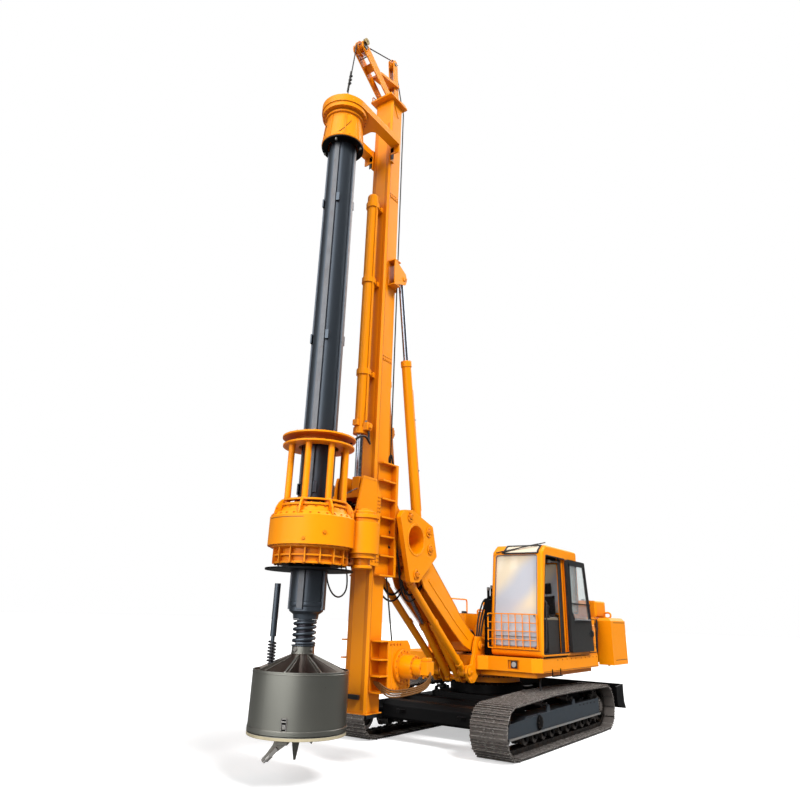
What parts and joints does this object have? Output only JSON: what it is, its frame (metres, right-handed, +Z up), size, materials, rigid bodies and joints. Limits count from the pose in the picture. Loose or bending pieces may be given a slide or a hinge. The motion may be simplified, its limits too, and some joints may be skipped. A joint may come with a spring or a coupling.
{
  "type": "rotary piling rig",
  "caption": "Crawler-mounted rotary piling rig: slewing upper with cab, folding boom linkage, tall mast, rotary drive on a crowd carriage, kelly bar and drilling bucket.",
  "frame": {"origin": "on the ground under the middle of the machine's outer box, tracks standing on Z = 0", "axes": "+X forwards towards the kelly bar, +Y to the operator's left, +Z up along the mast"},
  "size_m": [9.51, 3.48, 13.2064],
  "materials": {
    "machine_paint": "gloss",
    "dark_paint": "satin",
    "kelly_steel": "satin",
    "bucket_steel": "satin",
    "track_steel": "worn",
    "frame_grey": "satin",
    "rod_chrome": "polished",
    "ballast": "gloss",
    "window_glass": "clear",
    "seat_fabric": "woven",
    "console_plastic": "grained",
    "door_paint": "satin"
  },
  "bodies": {
    "root": {"centre_frame": "dark_paint", "front_guard_beam": "dark_paint", "slew_ring": "machine_paint", "rear_blade": "dark_paint", "track_left": "track_steel", "track_right": "track_steel", "track_frame_left": "frame_grey", "track_frame_right": "frame_grey", "idler_left": "track_steel", "idler_right": "track_steel", "sprocket_left": "track_steel", "sprocket_right": "track_steel", "rollers_left": "track_steel", "rollers_right": "track_steel"},
    "upper_structure": {"deck": "machine_paint", "machinery_housing": "machine_paint", "engine_hood": "machine_paint", "engine_block": "track_steel", "counterweight": "ballast", "cab_shell": "machine_paint", "cab_glass": "window_glass", "operator_seat": "seat_fabric", "control_console": "console_plastic", "window_guard": "machine_paint", "valve_block": "dark_paint"},
    "door": {"cab_door": "door_paint"},
    "boom": {"boom": "machine_paint"},
    "links": {"lower_links": "machine_paint"},
    "triangle": {"triangle_frame": "machine_paint"},
    "boom_barrels": {"boom_cylinder_barrels": "machine_paint"},
    "boom_rods": {"boom_cylinder_rods": "rod_chrome"},
    "mast_barrels": {"mast_cylinder_barrels": "machine_paint"},
    "mast_rods": {"mast_cylinder_rods": "rod_chrome"},
    "mast": {"mast_column": "machine_paint", "mast_cradle": "machine_paint", "cylinder_bracket": "machine_paint", "mast_head": "machine_paint", "head_sheaves": "machine_paint", "crowd_barrel": "machine_paint", "winch_frame": "machine_paint", "winch_motor": "machine_paint"},
    "drum": {"winch_drum": "dark_paint"},
    "carriage": {"drive_carriage": "machine_paint", "crowd_rod": "rod_chrome", "gear_case": "machine_paint", "drive_motors": "machine_paint", "drive_cage": "machine_paint"},
    "sleeve": {"drive_sleeve": "dark_paint"},
    "guide": {"kelly_guide": "machine_paint"},
    "kelly": {"kelly_bar": "kelly_steel", "kelly_spring": "kelly_steel", "bucket": "bucket_steel", "push_rod": "kelly_steel"},
    "gate": {"bucket_gate": "bucket_steel"}
  },
  "joints": [
    {"name": "slew", "type": "hinge", "parent": "root", "child": "upper_structure", "pos_m": [-1.165, 0, 1], "axis": [0, 0, 1], "continuous": true},
    {"name": "cab_door_hinge", "type": "hinge", "parent": "upper_structure", "child": "door", "pos_m": [-1.5, 1.598, 2.4], "axis": [0, 0, 1], "range_deg": [-180, 0]},
    {"name": "boom_lift", "type": "hinge", "parent": "upper_structure", "child": "boom", "pos_m": [-0.205, 0, 1.545], "axis": [0, 1, 0], "range_deg": [-20, 8]},
    {"name": "link_swing", "type": "hinge", "parent": "upper_structure", "child": "links", "pos_m": [0.195, 0, 1.12], "axis": [0, 1, 0], "range_deg": [-21, 9]},
    {"name": "triangle_level", "type": "hinge", "parent": "boom", "child": "triangle", "pos_m": [1.71, 0, 3.045], "axis": [0, 1, 0], "range_deg": [-9, 21]},
    {"name": "boom_barrel_swing", "type": "hinge", "parent": "upper_structure", "child": "boom_barrels", "pos_m": [0.085, 0, 1], "axis": [0, 1, 0], "range_deg": [-22, 10]},
    {"name": "boom_rod_slide", "type": "slide", "parent": "boom_barrels", "child": "boom_rods", "axis": [0.7084, 0, 0.7058], "range_m": [-0.16, 0.26]},
    {"name": "mast_tilt", "type": "hinge", "parent": "triangle", "child": "mast", "pos_m": [2.325, 0, 3.51], "axis": [0, 1, 0], "range_deg": [-90, 5]},
    {"name": "mast_barrel_swing", "type": "hinge", "parent": "triangle", "child": "mast_barrels", "pos_m": [1.76, 0, 3.325], "axis": [0, 1, 0], "range_deg": [-103, 8]},
    {"name": "mast_rod_slide", "type": "slide", "parent": "mast_barrels", "child": "mast_rods", "axis": [0.1646, 0, 0.9864], "range_m": [-1, 0.1]},
    {"name": "winch_turn", "type": "hinge", "parent": "mast", "child": "drum", "pos_m": [2.315, 0, 1.29], "axis": [0, 1, 0], "continuous": true},
    {"name": "crowd", "type": "slide", "parent": "mast", "child": "carriage", "axis": [0, 0, -1], "range_m": [-0.4, 1.6]},
    {"name": "sleeve_spin", "type": "hinge", "parent": "carriage", "child": "sleeve", "pos_m": [4.115, 0, 2.5], "axis": [0, 0, 1], "continuous": true},
    {"name": "hoist", "type": "slide", "parent": "carriage", "child": "guide", "axis": [0, 0, -1], "range_m": [0, 4.9]},
    {"name": "kelly_spin", "type": "hinge", "parent": "guide", "child": "kelly", "pos_m": [4.115, 0, 2.5], "axis": [0, 0, 1], "continuous": true},
    {"name": "bucket_gate_hinge", "type": "hinge", "parent": "kelly", "child": "gate", "pos_m": [3.447, 0, 0.572], "axis": [0, 1, 0], "range_deg": [0, 75]}
  ],
  "couplings": [
    {"joint": "link_swing", "follows": "boom_lift", "ratio": 1},
    {"joint": "triangle_level", "follows": "boom_lift", "ratio": -1},
    {"joint": "boom_barrel_swing", "follows": "boom_lift", "ratio": 0.87113},
    {"joint": "boom_rod_slide", "follows": "boom_lift", "m_per_rad": -0.55411},
    {"joint": "mast_barrel_swing", "follows": "mast_tilt", "ratio": 1.0422},
    {"joint": "mast_rod_slide", "follows": "mast_tilt", "m_per_rad": 0.50546},
    {"joint": "sleeve_spin", "follows": "kelly_spin", "ratio": 1}
  ]
}
